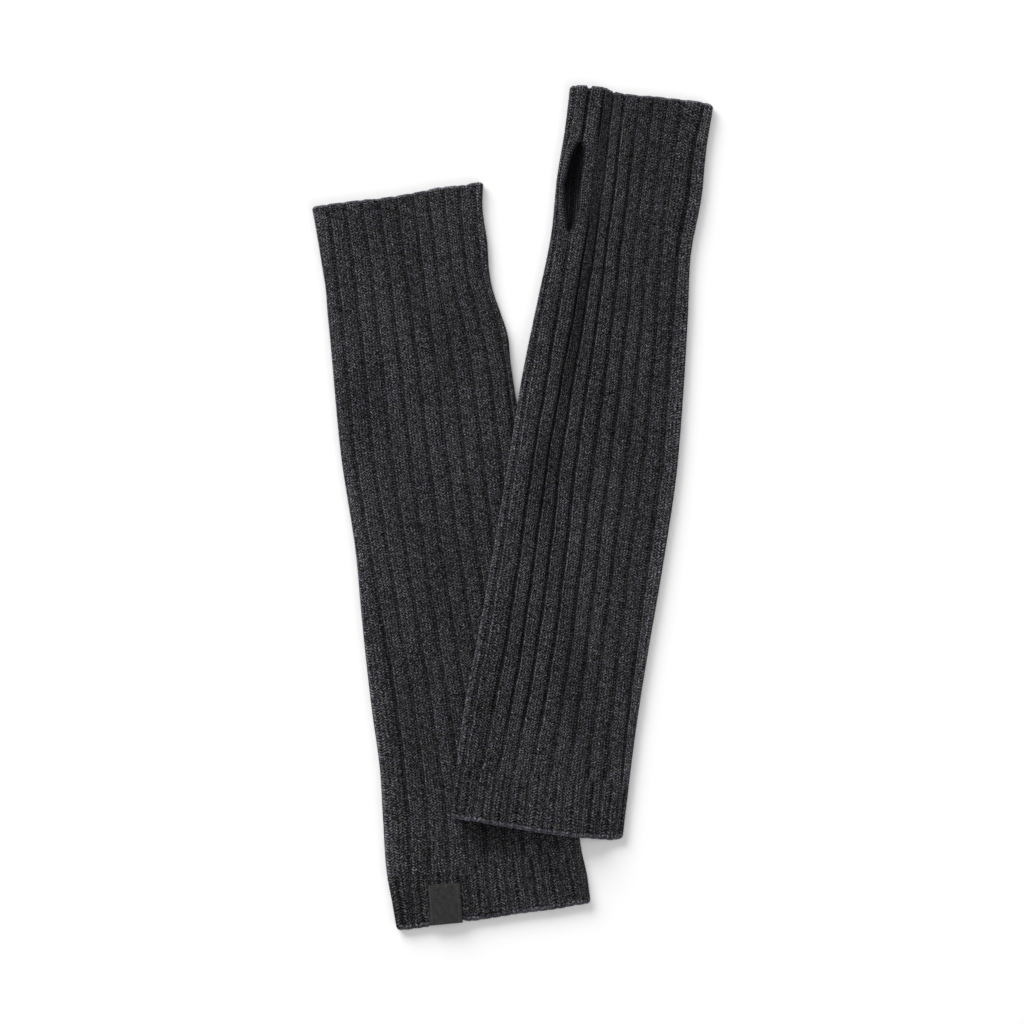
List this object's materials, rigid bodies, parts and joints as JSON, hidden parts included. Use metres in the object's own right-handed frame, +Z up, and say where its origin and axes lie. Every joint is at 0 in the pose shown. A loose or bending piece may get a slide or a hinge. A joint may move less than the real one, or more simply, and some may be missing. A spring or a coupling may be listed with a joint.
{
  "type": "pair of rib-knitted arm warmers, laid flat",
  "caption": "Long rib-knitted arm warmers laid flat and partly overlapping, each with a thumb slit near the hand end and a short elbow welt; they keep the forearms warm.",
  "frame": {"origin": "under the middle of the pair's bounding box, on the surface that it lies on", "axes": "+Y from the elbow ends to the hand ends, +X to the right seen from above, from the under warmer to the over warmer, +Z up"},
  "size_m": [0.2157, 0.4547, 0.0111],
  "materials": {
    "charcoal_knit": "charcoal melange wool knit, matt, with pale fibre flecks",
    "label_weave": "smooth dark woven label, satin"
  },
  "bodies": {
    "root": {"under_warmer_front_panel": "charcoal_knit", "under_warmer_back_panel": "charcoal_knit", "over_warmer_front_panel": "charcoal_knit", "over_warmer_back_panel": "charcoal_knit", "hem_label": "label_weave"}
  },
  "joints": []
}
